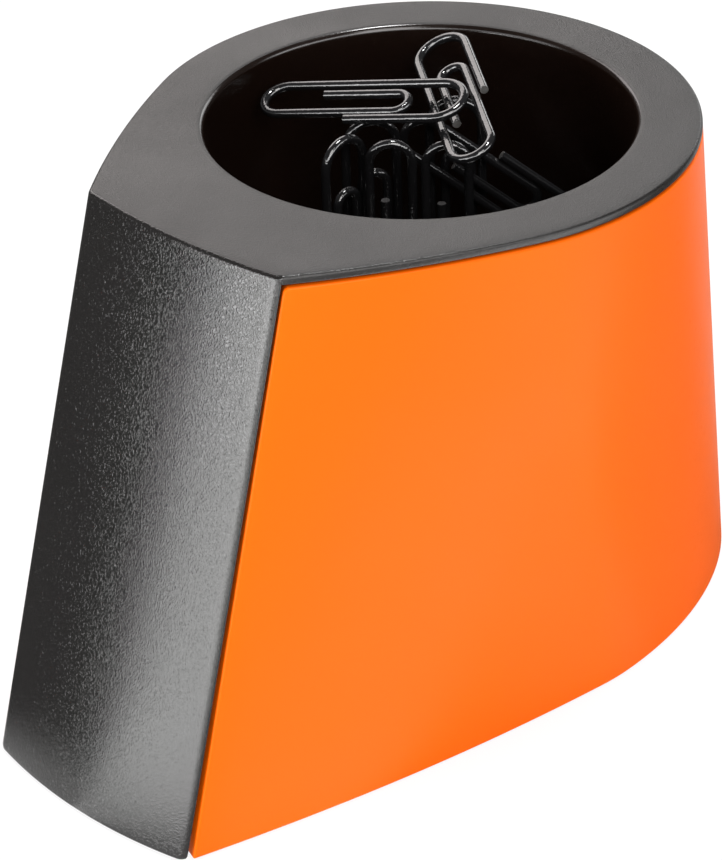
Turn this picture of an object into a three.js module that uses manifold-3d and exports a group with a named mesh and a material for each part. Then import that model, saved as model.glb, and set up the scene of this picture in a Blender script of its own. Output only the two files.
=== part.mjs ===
// Desk holder for paper clips: a black moulding with a round cup and a leaning front panel, an orange
// wrap round its sides and back, a base plate on four pads, a magnet under the cup and the clips it holds.
// Millimetres, +Z up, front panel towards -Y, standing on z = 0.
import * as THREE from 'three';
import { mergeVertices } from 'three/addons/utils/BufferGeometryUtils.js';
import Module from 'manifold-3d';

const wasm = await Module();
wasm.setup();

// Overall sizes
const height = 70.4;
const openingRadius = 27;
const rimWidth = 7.1;
const cupDepth = 32.6;

// Plan outline of the rim and of the foot. Each is a round back end, two slightly bulging sides and a
// bowed front. Positions are measured from the cup's axis.
const rimOutline = {
  centreY: 0,
  endRadius: openingRadius + rimWidth,
  stretch: 1,
  sideRadius: 132,
  cornerX: 15.7,
  cornerY: -39.8,
  bow: 0.75,
};
const footOutline = {
  centreY: 3.5,
  endRadius: 31.1,
  stretch: 1.4,
  sideRadius: 320,
  cornerX: 16.9,
  cornerY: -60.3,
  bow: 2.75,
};
const cornerRadius = 0.7;

// Walls and edges
const wall = 2.2;
const gap = 0.3;
const rimBand = 1.2;
const rimThickness = 2.2;
const rimFillet = 0.3;
const lipFillet = 1.0;
const cupWall = 1.8;
const cupDraft = 0.6;
const cupFloor = 2.0;
const cupFloorFillet = 3.0;
const edgeRound = 0.3;
const panelReturn = 0.5;
const tongueWall = 1.6;
const tongueLength = 8;
const rimStepDepth = 5;
const ribThickness = 1.4;
const gussetDepth = 9;
const gussetCount = 8;
const hookDepth = 2.2;
const hookWidth = 1.5;
const ledgeDepth = 1.4;
const ledgeThickness = 1.2;

// Base plate, pads and screws
const padProud = 0.25;
const padRadius = 4.5;
const padHeight = 1.1;
const baseThickness = 2.4;
const baseRimHeight = 2.5;
const baseRimWidth = 1.2;
const padMargin = 1.4;
const frontPadSetback = 10.2;
const frontPadSide = 7;
const rearPadX = 15;
const screwShankRadius = 1.2;
const screwHeadRadius = 2.5;
const screwHeadHeight = 1.5;
const screwLength = 10;
const bossRadius = 3.2;
const bossPadHeight = 1.8;
const frontBossX = 8.5;
const frontBossSetback = 7.5;
const rearBossSetback = 11;

// Magnet under the cup floor
const magnetRadius = 11;
const magnetThickness = 4;
const socketWall = 1.5;
const capPlug = 1.6;
const capFlange = 1.2;

// Gem clips bent from round wire. Legs in order along the wire: short outer leg, outer bend, long leg,
// lower bend, middle leg, inner bend, short inner leg.
const clipLength = 28;
const wireRadius = 0.6;
const outerBend = 3.3;
const lowerBend = 2.65;
const innerBend = 1.7;
const innerBendSetback = 7.2;
const outerLegStart = 12.5;
const innerLegEnd = 8.5;

// Levels that follow from the sizes
const cupFloorTop = height - cupDepth;
const cupFloorUnder = cupFloorTop - cupFloor;
const baseTop = padProud + baseThickness;
const wrapTop = height - rimBand - gap;
const ledgeBottom = baseTop + gap;
const tongueBottom = ledgeBottom + ledgeThickness + gap;
const stepInset = wall + gap;
const bossBottom = baseTop + bossPadHeight + gap;
const seamOffset = panelReturn + gap;
const widestPart = (padProud + edgeRound) / height;
const backReach = THREE.MathUtils.lerp(
  footOutline.centreY + footOutline.endRadius * footOutline.stretch,
  rimOutline.centreY + rimOutline.endRadius * rimOutline.stretch, widestPart);
const frontReach = THREE.MathUtils.lerp(
  footOutline.cornerY - footOutline.bow, rimOutline.cornerY - rimOutline.bow, widestPart);
const axisY = -(backReach + frontReach) / 2;
const frontPadX = footOutline.cornerX - frontPadSide;
const frontPadY = footOutline.cornerY + frontPadSetback;
const padInset = wall + gap + padRadius + padMargin;
const padCircle = footOutline.endRadius - padInset;
const rearPadY = footOutline.centreY
  + (footOutline.endRadius * footOutline.stretch - padInset) * Math.sqrt(1 - (rearPadX / padCircle) ** 2);
const frontBossY = -openingRadius - frontBossSetback;
const rearBossX = rearPadX;
const rearBossY = rearPadY - rearBossSetback;
const beyond = 10;

// Facets of each stretch of the outline, of round pieces and of a clip's wire
const panelSteps = 5;
const cornerSteps = 3;
const sideSteps = 5;
const endSteps = 12;
const cupSegments = 60;
const roundSegments = 24;
const smallSegments = 16;
const ringSpacing = 14;
const wireSides = 6;

// Solids

function solidFrom(geometry) {
  const bare = geometry.index ? geometry.toNonIndexed() : geometry.clone();
  bare.deleteAttribute('normal');
  bare.deleteAttribute('uv');
  const merged = mergeVertices(bare, 1e-4);
  const mesh = new wasm.Mesh({
    numProp: 3,
    vertProperties: new Float32Array(merged.attributes.position.array),
    triVerts: new Uint32Array(merged.index.array),
  });
  return new wasm.Manifold(mesh);
}

function geometryOf(solid) {
  const mesh = solid.getMesh();
  const geometry = new THREE.BufferGeometry();
  geometry.setAttribute('position', new THREE.BufferAttribute(mesh.vertProperties, 3));
  geometry.setIndex(new THREE.BufferAttribute(mesh.triVerts, 1));
  geometry.computeVertexNormals();
  return geometry;
}

function union(solids) {
  return solids.reduce((sum, solid) => sum.add(solid));
}

// Closed solid through a stack of rings with equal point counts, listed from the bottom up. The right
// and left halves are split into triangles as mirror images.
function loft(rings) {
  const count = rings[0].length;
  const positions = [];
  const triangles = [];
  for (const ring of rings) {
    for (const point of ring) positions.push(point.x, point.y, point.z);
  }
  for (let level = 0; level + 1 < rings.length; level += 1) {
    for (let i = 0; i < count; i += 1) {
      const a = level * count + i;
      const b = level * count + ((i + 1) % count);
      if (i < count / 2) triangles.push(a, b, b + count, a, b + count, a + count);
      else triangles.push(a, b, a + count, b, b + count, a + count);
    }
  }
  const capOf = (ring) => THREE.ShapeUtils.triangulateShape(
    ring.map((point) => new THREE.Vector2(point.x, point.y)), []);
  const last = (rings.length - 1) * count;
  for (const [a, b, c] of capOf(rings[0])) triangles.push(c, b, a);
  for (const [a, b, c] of capOf(rings[rings.length - 1])) triangles.push(last + a, last + b, last + c);
  const geometry = new THREE.BufferGeometry();
  geometry.setAttribute('position', new THREE.Float32BufferAttribute(positions, 3));
  geometry.setIndex(triangles);
  return solidFrom(geometry);
}

// Revolved solid about a vertical axis at (x, y); the profile is a list of [radius, z].
function revolve(profile, segments, x = 0, y = 0) {
  const points = profile.map(([radius, z]) => new THREE.Vector2(radius, z));
  const geometry = new THREE.LatheGeometry(points, segments);
  geometry.rotateX(Math.PI / 2);
  geometry.translate(x, y, 0);
  return solidFrom(geometry);
}

function disc(radius, bottom, top, segments, x = 0, y = 0) {
  return revolve([[0, bottom], [radius, bottom], [radius, top], [0, top]], segments, x, y);
}

function box(x, y, z, width, depth, tall, turn = 0) {
  const geometry = new THREE.BoxGeometry(width, depth, tall);
  geometry.translate(x, y, z);
  geometry.rotateZ(turn);
  return solidFrom(geometry);
}

// Prism with its profile in the YZ plane, centred on x.
function sideProfile(points, thickness, x = 0) {
  const shape = new THREE.Shape(points.map(([y, z]) => new THREE.Vector2(y, z)));
  const geometry = new THREE.ExtrudeGeometry(shape, { depth: thickness, bevelEnabled: false });
  geometry.translate(0, 0, -thickness / 2);
  geometry.applyMatrix4(new THREE.Matrix4().makeBasis(
    new THREE.Vector3(0, 1, 0), new THREE.Vector3(0, 0, 1), new THREE.Vector3(1, 0, 0)));
  geometry.translate(x, 0, 0);
  return solidFrom(geometry);
}

// Outline

// The same outline moved inwards by a distance, as a wall's inner face is.
function insetOutline(outline, distance) {
  const { side, panel } = cornerDirections(outline);
  const half = side.angleTo(panel) / 2;
  const inward = side.clone().add(panel).normalize().multiplyScalar(distance / Math.sin(half));
  const endReach = outline.endRadius * outline.stretch - distance;
  return {
    ...outline,
    endRadius: outline.endRadius - distance,
    stretch: endReach / (outline.endRadius - distance),
    sideRadius: outline.sideRadius - distance,
    cornerX: outline.cornerX + inward.x,
    cornerY: outline.cornerY + inward.y,
  };
}

// Angle from +Y, clockwise, at which the side arc leaves the round end so that it meets the corner.
function tangentAngle(outline) {
  const { centreY, endRadius, sideRadius, cornerX, cornerY } = outline;
  const shift = sideRadius - endRadius;
  const reach = Math.hypot(cornerX, cornerY - centreY);
  const bearing = Math.atan2(cornerX, cornerY - centreY);
  const cosine = (sideRadius ** 2 - shift ** 2 - reach ** 2) / (2 * shift * reach);
  return bearing - Math.acos(cosine);
}

function sideArc(outline) {
  const angle = tangentAngle(outline);
  const shift = outline.sideRadius - outline.endRadius;
  const x = -shift * Math.sin(angle);
  const y = outline.centreY - shift * Math.cos(angle);
  const endAngle = Math.atan2(outline.cornerX - x, outline.cornerY - y);
  return (t) => {
    const at = endAngle + (angle - endAngle) * t;
    return new THREE.Vector2(x + outline.sideRadius * Math.sin(at), y + outline.sideRadius * Math.cos(at));
  };
}

function panelArc(outline) {
  const { cornerX, cornerY, bow } = outline;
  const radius = (cornerX ** 2 + bow ** 2) / (2 * bow);
  const span = Math.asin(cornerX / radius);
  return (t) => new THREE.Vector2(
    radius * Math.sin(span * t), cornerY - bow + radius - radius * Math.cos(span * t));
}

// Unit directions from the corner along the side and along the panel.
function cornerDirections(outline) {
  const near = 0.02;
  const corner = new THREE.Vector2(outline.cornerX, outline.cornerY);
  return {
    side: sideArc(outline)(near).sub(corner).normalize(),
    panel: panelArc(outline)(1 - near).sub(corner).normalize(),
  };
}

// Right half of the outline from the middle of the panel to the middle of the back.
function halfOutline(outline) {
  const side = sideArc(outline);
  const panel = panelArc(outline);
  const corner = new THREE.Vector2(outline.cornerX, outline.cornerY);
  const panelTrim = 1 - cornerRadius / panel(0).distanceTo(corner);
  const sideTrim = cornerRadius / side(1).distanceTo(corner);
  const points = [];
  for (let i = 0; i < panelSteps; i += 1) points.push(panel(panelTrim * i / panelSteps));
  const rounding = new THREE.QuadraticBezierCurve(panel(panelTrim), corner, side(sideTrim));
  points.push(...rounding.getPoints(cornerSteps));
  for (let i = 1; i < sideSteps; i += 1) points.push(side(sideTrim + (1 - sideTrim) * i / sideSteps));
  const angle = tangentAngle(outline);
  for (let i = 0; i <= endSteps; i += 1) {
    const at = angle * (1 - i / endSteps);
    const y = outline.endRadius * Math.cos(at);
    points.push(new THREE.Vector2(
      outline.endRadius * Math.sin(at), outline.centreY + (y > 0 ? y * outline.stretch : y)));
  }
  return points;
}

function fullOutline(outline) {
  const right = halfOutline(outline);
  const left = right.slice(1, -1).reverse().map((point) => new THREE.Vector2(-point.x, point.y));
  return [...right, ...left];
}

// Ring of the leaning outer surface at a level, moved inwards by a distance. The surface is straight
// from the foot outline up to the rim outline.
function ring(inset, z) {
  const foot = fullOutline(insetOutline(footOutline, inset));
  const rim = fullOutline(insetOutline(rimOutline, inset));
  return foot.map((point, i) => {
    const at = point.clone().lerp(rim[i], z / height);
    return new THREE.Vector3(at.x, at.y, z);
  });
}

// Rings strictly between two levels. All solids share these levels, so that their facets run parallel.
function ringsBetween(inset, bottom, top) {
  const rings = [];
  for (let z = Math.floor(bottom / ringSpacing) * ringSpacing + ringSpacing; z < top; z += ringSpacing) {
    rings.push(ring(inset, z));
  }
  return rings;
}

function solidBetween(inset, bottom, top) {
  return loft([ring(inset, bottom), ...ringsBetween(inset, bottom, top), ring(inset, top)]);
}

// Shell between two insets of the outer surface.
function shellBetween(outer, inner, bottom, top) {
  return solidBetween(outer, bottom, top).subtract(solidBetween(inner, bottom - beyond, top + beyond));
}

function cornerLine(z) {
  return footOutline.cornerY + (rimOutline.cornerY - footOutline.cornerY) * z / height;
}

// Block between two planes that lean with the panel's edges, each given by its distance behind them.
function leaningBlock(from, to, bottom, top, width = 4 * rimOutline.endRadius) {
  return sideProfile([
    [cornerLine(bottom) + from, bottom],
    [cornerLine(bottom) + to, bottom],
    [cornerLine(top) + to, top],
    [cornerLine(top) + from, top],
  ], width);
}

// Arc of a profile's fillet, from one angle to another in degrees.
function arcProfile(radius, z, size, from, to, steps) {
  return Array.from({ length: steps + 1 }, (_, i) => {
    const angle = THREE.MathUtils.degToRad(from + (to - from) * i / steps);
    return [radius + size * Math.cos(angle), z + size * Math.sin(angle)];
  });
}

// Black body

function cupCavity() {
  const floorRadius = openingRadius - cupDraft;
  return revolve([
    [0, cupFloorTop],
    ...arcProfile(floorRadius - cupFloorFillet, cupFloorTop + cupFloorFillet, cupFloorFillet, -90, 0, 4),
    ...arcProfile(openingRadius + lipFillet, height - lipFillet, lipFillet, 180, 90, 4),
    [openingRadius + lipFillet, height + beyond],
    [0, height + beyond],
  ], cupSegments);
}

function cupOutside() {
  const outside = openingRadius + cupWall;
  const floorRadius = outside - cupDraft;
  return revolve([
    [0, cupFloorUnder],
    ...arcProfile(floorRadius - cupFloorFillet, cupFloorUnder + cupFloorFillet, cupFloorFillet, -90, 0, 3),
    [outside, height - rimThickness],
    [outside, height - rimThickness / 2],
    [0, height - rimThickness / 2],
  ], cupSegments);
}

function rimPlate() {
  const band = loft([
    ring(0, height - rimBand),
    ring(0, height - rimFillet),
    ring(rimFillet * 0.3, height - rimFillet * 0.3),
    ring(rimFillet, height),
  ]);
  const plate = solidBetween(stepInset, height - rimThickness, height - rimFillet);
  const step = shellBetween(stepInset, stepInset + tongueWall, height - rimStepDepth, height - rimBand / 2);
  return union([band, plate, step]);
}

function frontPanel() {
  const front = -2 * Math.abs(frontReach);
  const shell = loft([
    ring(edgeRound, padProud),
    ring(0, padProud + edgeRound),
    ...ringsBetween(0, padProud + edgeRound, height - rimBand / 2),
    ring(0, height - rimBand / 2),
  ]).subtract(solidBetween(wall, -beyond, height + beyond));
  const face = shell.intersect(leaningBlock(front, panelReturn, -beyond, height + beyond));
  const shoulder = shellBetween(wall / 2, stepInset + tongueWall, tongueBottom, height - rimBand / 2)
    .intersect(leaningBlock(-wall, panelReturn, -beyond, height + beyond));
  const tongue = shellBetween(stepInset, stepInset + tongueWall, tongueBottom, height - rimBand / 2)
    .intersect(leaningBlock(-wall, seamOffset + tongueLength, -beyond, height + beyond));
  return union([face, shoulder, tongue]);
}

// Radial gussets under the rim, round the back and sides of the cup.
function rimGussets() {
  const inner = openingRadius + cupWall / 2;
  const outer = rimOutline.endRadius;
  const gussets = Array.from({ length: gussetCount }, (_, i) => {
    const turn = Math.PI * (i / (gussetCount - 1) * 1.2 - 0.1);
    return box((inner + outer) / 2, 0, height - rimThickness / 2 - gussetDepth / 2,
      outer - inner, ribThickness, gussetDepth, turn);
  });
  return union(gussets).intersect(solidBetween(stepInset + gap, 0, height));
}

// Central web that ties the cup to the panel, and the webs of the two front bosses.
function frontWebs() {
  const cupFront = -openingRadius;
  const low = cupFloorUnder / 2;
  const centre = sideProfile([
    [cupFront, cupFloorUnder + cupFloorFillet],
    [cupFront, height - rimThickness / 2],
    [2 * frontReach, height - rimThickness / 2],
    [2 * frontReach, low],
    [cornerLine(low), low],
  ], ribThickness);
  const bossWebs = [-frontBossX, frontBossX].map((x) => sideProfile([
    [frontBossY, cupFloorTop],
    [cupFront + cupWall, cupFloorTop + cupWall],
    [cupFront + cupWall, height - rimThickness / 2],
    [frontBossY, height - rimThickness / 2],
  ], ribThickness, x));
  return union([centre, ...bossWebs]).intersect(solidBetween(wall / 2, 0, height));
}

const screwPlaces = {
  front_left: [-frontBossX, frontBossY],
  front_right: [frontBossX, frontBossY],
  rear_left: [-rearBossX, rearBossY],
  rear_right: [rearBossX, rearBossY],
};

function screwBosses() {
  return union(Object.values(screwPlaces).map(([x, y]) => {
    const top = y < 0 ? height - rimThickness / 2 : cupFloorUnder + cupFloor / 2;
    return disc(bossRadius, bossBottom, top, smallSegments, x, y);
  }));
}

function pilotHoles() {
  const depth = screwLength + 2 * gap;
  return union(Object.values(screwPlaces).map(([x, y]) => (
    disc(screwShankRadius + gap, bossBottom - beyond, bossBottom + depth, smallSegments, x, y))));
}

function magnetSocket() {
  const inner = magnetRadius + gap;
  const bottom = cupFloorUnder - gap - magnetThickness - gap - capPlug;
  return disc(inner + socketWall, bottom, cupFloorUnder + cupFloor / 2, roundSegments)
    .subtract(disc(inner, bottom - beyond, cupFloorUnder, roundSegments));
}

function bodyMoulding() {
  const plus = union([
    rimPlate(), cupOutside(), frontPanel(), rimGussets(), frontWebs(), screwBosses(), magnetSocket(),
  ]);
  return plus.subtract(cupCavity()).subtract(pilotHoles());
}

// Orange wrap

function outerWrap() {
  const behind = 4 * backReach;
  const shell = loft([
    ring(edgeRound, padProud),
    ring(0, padProud + edgeRound),
    ...ringsBetween(0, padProud + edgeRound, wrapTop - edgeRound),
    ring(0, wrapTop - edgeRound),
    ring(edgeRound, wrapTop),
  ]).subtract(solidBetween(wall, -beyond, height + beyond));
  const side = shell.intersect(leaningBlock(seamOffset, behind, -beyond, height + beyond));
  const ledge = shellBetween(wall / 2, wall + ledgeDepth, ledgeBottom, ledgeBottom + ledgeThickness)
    .intersect(leaningBlock(seamOffset + wall, behind, -beyond, height + beyond));
  const hookFrom = seamOffset + tongueLength + gap;
  const hookBottom = baseTop + baseRimHeight + gap;
  const hooks = shellBetween(wall / 2, wall + hookDepth, hookBottom, wrapTop - rimStepDepth)
    .intersect(leaningBlock(hookFrom, hookFrom + hookWidth, -beyond, height + beyond));
  const frontOpening = leaningBlock(
    -wall, 2 * wall, -beyond, height + beyond, 2 * insetOutline(rimOutline, wall).cornerX);
  return union([side, ledge, hooks]).subtract(frontOpening);
}

// Base plate, pads, screws and magnet

const padPlaces = {
  front_left: [-frontPadX, frontPadY],
  front_right: [frontPadX, frontPadY],
  rear_left: [-rearPadX, rearPadY],
  rear_right: [rearPadX, rearPadY],
};

function basePlate() {
  const plate = solidBetween(stepInset, padProud, baseTop);
  const rimInset = wall + Math.max(ledgeDepth, gap + tongueWall) + gap;
  const upstand = shellBetween(rimInset, rimInset + baseRimWidth, baseTop - gap, baseTop + baseRimHeight);
  const bosses = Object.values(screwPlaces).map(([x, y]) => (
    disc(bossRadius + wall / 2, baseTop - gap, baseTop + bossPadHeight, roundSegments, x, y)));
  const headRecess = padProud + gap + screwHeadHeight + gap;
  const holes = Object.values(screwPlaces).map(([x, y]) => union([
    disc(screwShankRadius + gap, -beyond, baseTop + beyond, smallSegments, x, y),
    disc(screwHeadRadius + gap, -beyond, headRecess, smallSegments, x, y),
  ]));
  const pockets = Object.values(padPlaces).map(([x, y]) => (
    disc(padRadius + gap, -beyond, padHeight + gap, roundSegments, x, y)));
  return union([plate, upstand, ...bosses]).subtract(union([...holes, ...pockets]));
}

function footPad([x, y]) {
  const bevel = edgeRound;
  return revolve([
    [0, 0],
    [padRadius - bevel, 0],
    [padRadius, bevel],
    [padRadius, padHeight],
    [0, padHeight],
  ], roundSegments, x, y);
}

// Pan-head screw, driven up from below, with a crossed slot in its head.
function baseScrew([x, y]) {
  const headBottom = padProud + gap;
  const headTop = headBottom + screwHeadHeight;
  const tip = headTop + screwLength;
  const blank = revolve([
    [0, headBottom],
    [screwHeadRadius * 0.7, headBottom],
    [screwHeadRadius, headBottom + screwHeadHeight * 0.4],
    [screwHeadRadius, headTop],
    [screwShankRadius, headTop],
    [screwShankRadius, tip - screwShankRadius],
    [0, tip],
  ], smallSegments, x, y);
  const slotDepth = screwHeadHeight * 0.6;
  const slotWidth = screwHeadRadius * 0.25;
  const slots = [[slotWidth, screwHeadRadius], [screwHeadRadius, slotWidth]].map(([width, depth]) => (
    box(x, y, headBottom, width, depth, 2 * slotDepth)));
  return blank.subtract(union(slots));
}

function magnetDisc() {
  const top = cupFloorUnder - gap;
  const bevel = edgeRound;
  return revolve([
    [0, top - magnetThickness],
    [magnetRadius - bevel, top - magnetThickness],
    [magnetRadius, top - magnetThickness + bevel],
    [magnetRadius, top - bevel],
    [magnetRadius - bevel, top],
    [0, top],
  ], roundSegments);
}

// Cap with a plug that fills the socket's mouth and a flange under its rim.
function magnetCap() {
  const top = cupFloorUnder - 2 * gap - magnetThickness;
  const seat = top - capPlug;
  const flangeRadius = magnetRadius + gap + socketWall;
  return revolve([
    [0, seat - gap - capFlange],
    [flangeRadius, seat - gap - capFlange],
    [flangeRadius, seat - gap],
    [magnetRadius, seat - gap],
    [magnetRadius, top],
    [0, top],
  ], roundSegments);
}

// Clips

// Centreline of the bent wire in the XZ plane, with the lower bend at the bottom and the clip's middle
// at the origin. Each leg takes one step and each bend a few.
class ClipWire extends THREE.Curve {
  constructor() {
    super();
    const bottom = wireRadius - clipLength / 2;
    const outerCentre = clipLength / 2 - wireRadius - outerBend;
    const lowerCentre = bottom + lowerBend;
    const innerCentre = outerCentre + outerBend - innerBendSetback - innerBend;
    const longX = -outerBend;
    const middleX = longX + 2 * lowerBend;
    const innerX = middleX - 2 * innerBend;
    const leg = (x, from, to) => ({ steps: 1, at: (t) => [x, from + (to - from) * t] });
    const bend = (x, z, radius, from, turn, steps) => ({
      steps,
      at: (t) => [x + radius * Math.cos(from + turn * t), z + radius * Math.sin(from + turn * t)],
    });
    this.stretches = [
      leg(outerBend, outerLegStart - clipLength / 2, outerCentre),
      bend(0, outerCentre, outerBend, 0, Math.PI, 8),
      leg(longX, outerCentre, lowerCentre),
      bend(longX + lowerBend, lowerCentre, lowerBend, Math.PI, Math.PI, 7),
      leg(middleX, lowerCentre, innerCentre),
      bend(middleX - innerBend, innerCentre, innerBend, 0, Math.PI, 6),
      leg(innerX, innerCentre, innerLegEnd - clipLength / 2),
    ];
    this.steps = this.stretches.reduce((sum, stretch) => sum + stretch.steps, 0);
  }

  getPoint(t, target = new THREE.Vector3()) {
    let left = t * this.steps;
    for (const stretch of this.stretches) {
      if (left <= stretch.steps || stretch === this.stretches.at(-1)) {
        const [x, z] = stretch.at(left / stretch.steps);
        return target.set(x, 0, z);
      }
      left -= stretch.steps;
    }
    return target;
  }

  getUtoTmapping(u) {
    return u;
  }
}

function clipWire() {
  const wire = new ClipWire();
  const section = new THREE.Shape(Array.from({ length: wireSides }, (_, i) => {
    const angle = 2 * Math.PI * i / wireSides;
    return new THREE.Vector2(wireRadius * Math.cos(angle), wireRadius * Math.sin(angle));
  }));
  const geometry = new THREE.ExtrudeGeometry(section, { steps: wire.steps, extrudePath: wire });
  return geometryOf(solidFrom(geometry));
}

// Where each clip's middle is, in which compass direction and at what slope its long axis points from
// the lower bend to the outer bend, and how far it is rolled about that axis. Degrees. The standing
// clips' tops carry the lying ones.
const standingLevel = cupFloorTop + gap + clipLength / 2;
const standingTop = standingLevel + clipLength / 2;
const clipPlaces = {
  clip_standing_1: { x: -4.1, y: -0.2, z: standingLevel, slope: -88, heading: 135, roll: 180 },
  clip_standing_2: { x: 2.0, y: 3.5, z: standingLevel, slope: -88, heading: -45, roll: 0 },
  clip_standing_3: { x: -9.2, y: -4.1, z: standingLevel, slope: 90, heading: 0, roll: 0 },
  clip_standing_4: { x: -10.4, y: 1.9, z: standingLevel, slope: 90, heading: -30, roll: 0 },
  clip_standing_5: { x: -6.4, y: 13.2, z: standingLevel, slope: 90, heading: -45, roll: 0 },
  clip_leaning: { x: -1.6, y: 15.2, z: standingLevel + 3, slope: -38, heading: 45, roll: 90 },
  clip_lying_lower: { x: -2.2, y: 9.2, z: standingTop + 2.8, slope: 6, heading: 144, roll: 155 },
  clip_lying_upper: { x: -11.5, y: 1.7, z: standingTop + 1.8, slope: 9, heading: 24, roll: -164 },
};

function placeClip(mesh, { x, y, z, slope, heading, roll }) {
  const rise = THREE.MathUtils.degToRad(slope);
  const turn = THREE.MathUtils.degToRad(heading);
  const along = new THREE.Vector3(
    Math.cos(turn) * Math.cos(rise), Math.sin(turn) * Math.cos(rise), Math.sin(rise));
  const across = new THREE.Vector3(-Math.sin(turn), Math.cos(turn), 0)
    .applyAxisAngle(along, THREE.MathUtils.degToRad(roll));
  const face = new THREE.Vector3().crossVectors(along, across);
  mesh.quaternion.setFromRotationMatrix(new THREE.Matrix4().makeBasis(across, face, along));
  mesh.position.set(x, y, z);
}

// Materials

const finishes = {
  black: () => new THREE.MeshStandardMaterial({ color: 0x2b2b2c, roughness: 0.55, metalness: 0 }),
  orange: () => new THREE.MeshStandardMaterial({ color: 0xf2641a, roughness: 0.4, metalness: 0 }),
  rubber: () => new THREE.MeshStandardMaterial({ color: 0x1b1b1c, roughness: 0.9, metalness: 0 }),
  steel: () => new THREE.MeshStandardMaterial({ color: 0xb4b6b9, roughness: 0.35, metalness: 1 }),
  ferrite: () => new THREE.MeshStandardMaterial({ color: 0x3a3a3c, roughness: 0.7, metalness: 0.2 }),
  lacquer: () => new THREE.MeshStandardMaterial({ color: 0x0c0c0d, roughness: 0.15, metalness: 0.3 }),
};

function named(name, geometry, material) {
  const mesh = new THREE.Mesh(geometry, material);
  mesh.name = name;
  return mesh;
}

function buildHolder() {
  const holder = new THREE.Group();
  const put = (name, solid, finish) => holder.add(named(name, geometryOf(solid), finishes[finish]()));
  put('body_moulding', bodyMoulding(), 'black');
  put('outer_wrap', outerWrap(), 'orange');
  put('base_plate', basePlate(), 'black');
  put('magnet_disc', magnetDisc(), 'ferrite');
  put('magnet_cap', magnetCap(), 'black');
  for (const [place, at] of Object.entries(padPlaces)) put(`foot_pad_${place}`, footPad(at), 'rubber');
  for (const [place, at] of Object.entries(screwPlaces)) put(`base_screw_${place}`, baseScrew(at), 'steel');
  for (const [name, place] of Object.entries(clipPlaces)) {
    const clip = named(name, clipWire(), finishes.lacquer());
    placeClip(clip, place);
    holder.add(clip);
  }
  return holder;
}

const object = new THREE.Group();
const holder = buildHolder();
holder.position.set(0, axisY, 0);
object.add(holder);

export default object;
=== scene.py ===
from math import cos, pi, radians, sin, tan
from typing import NamedTuple

import bpy
import numpy as np
from bpy.props import FloatProperty, FloatVectorProperty, PointerProperty
from mathutils import Matrix, Vector


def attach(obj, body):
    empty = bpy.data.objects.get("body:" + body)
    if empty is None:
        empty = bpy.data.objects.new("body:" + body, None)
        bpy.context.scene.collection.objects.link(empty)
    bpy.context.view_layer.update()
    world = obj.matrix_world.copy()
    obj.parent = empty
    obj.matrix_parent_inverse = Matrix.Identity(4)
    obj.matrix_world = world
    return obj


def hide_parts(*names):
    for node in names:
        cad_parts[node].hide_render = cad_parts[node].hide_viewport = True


bl_info = {
    "name": "Paper clip holder",
    "version": (1, 0, 0),
    "blender": (4, 5, 0),
    "location": "View3D > Sidebar > Clip holder",
    "description": "Dresses the solid model of a desk holder for paper clips",
    "category": "Add Mesh",
}

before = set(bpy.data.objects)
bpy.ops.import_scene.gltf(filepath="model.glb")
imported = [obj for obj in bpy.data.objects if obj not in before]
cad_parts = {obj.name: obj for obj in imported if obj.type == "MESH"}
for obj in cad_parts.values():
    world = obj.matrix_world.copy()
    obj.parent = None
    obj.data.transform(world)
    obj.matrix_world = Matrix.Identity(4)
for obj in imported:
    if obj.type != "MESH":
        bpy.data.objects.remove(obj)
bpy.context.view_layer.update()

# Sizes in millimetres, measured from the cup's axis, as the solids have them
MM = 0.001


class Outline(NamedTuple):
    """Plan of the holder at one level: a round back end, two bulging sides and a bowed front."""

    centre_y: float
    end_radius: float
    stretch: float
    side_radius: float
    corner_x: float
    corner_y: float
    bow: float

    def corner(self):
        """The right corner, before it is rounded."""
        return np.array([self.corner_x, self.corner_y])


# Whole holder
HEIGHT = 70.4
RIM = Outline(0.0, 34.1, 1.0, 132.0, 15.7, -39.8, 1.2)
FOOT = Outline(3.5, 31.1, 1.4, 320.0, 16.9, -60.3, 2.75)
CORNER_RADIUS = 0.7
GAP = 0.3
PAD_PROUD = 0.25
EDGE_ROUND = 0.3

# Rim and cup
RIM_BAND = 1.2
BAND_ROUND = 0.3
RIM_THICKNESS = 2.2
RIM_FILLET = 0.45
RIM_STEP = 5.0
CROWN_WIDTH = 1.9
CROWN_DROP = 0.08
CROWN_SLOPE = 6.0
TONGUE_WALL = 1.6
OPENING_RADIUS = 27.0
LIP_RADIUS = 26.25
LIP_FILLET = 0.9
CUP_DEPTH = 32.6
CUP_WALL = 1.8
CUP_DRAFT = 0.6
CUP_FLOOR = 2.0
CUP_FILLET = 3.0
CUP_BOTTOM = HEIGHT - CUP_DEPTH
# Rings of the lip that already have the rim's grain, and of the fillet that have the band's
LIP_GRAINED_ROWS = 4
FILLET_GRAINED_ROWS = 7

# Front panel
PANEL_FOOT = FOOT._replace(corner_x=16.6, corner_y=-60.7, bow=1.9)
PANEL_RETURN = 0.5
PANEL_CORNER = 0.8
PANEL_TUCK_IN = 0.3
PANEL_TUCK_UP = 0.1
PANEL_BEHIND_BAND = 0.05

# Wrap
WALL = 2.2
STEP_INSET = WALL + GAP
WRAP_TOP = HEIGHT - RIM_BAND - GAP
SEAM = PANEL_RETURN + GAP
TOP_CORNER = 0.7
FOOT_CORNER = 0.35
# Distances from an edge at which a rounded edge has its rows, and at which the plain rows start
EDGE_STEPS = np.array([0.0, 0.015, 0.05, 0.1, 0.17, 0.24, 0.3, 0.42, 0.55, TOP_CORNER, 1.6])
EDGE_CLEAR = 2.0


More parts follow.
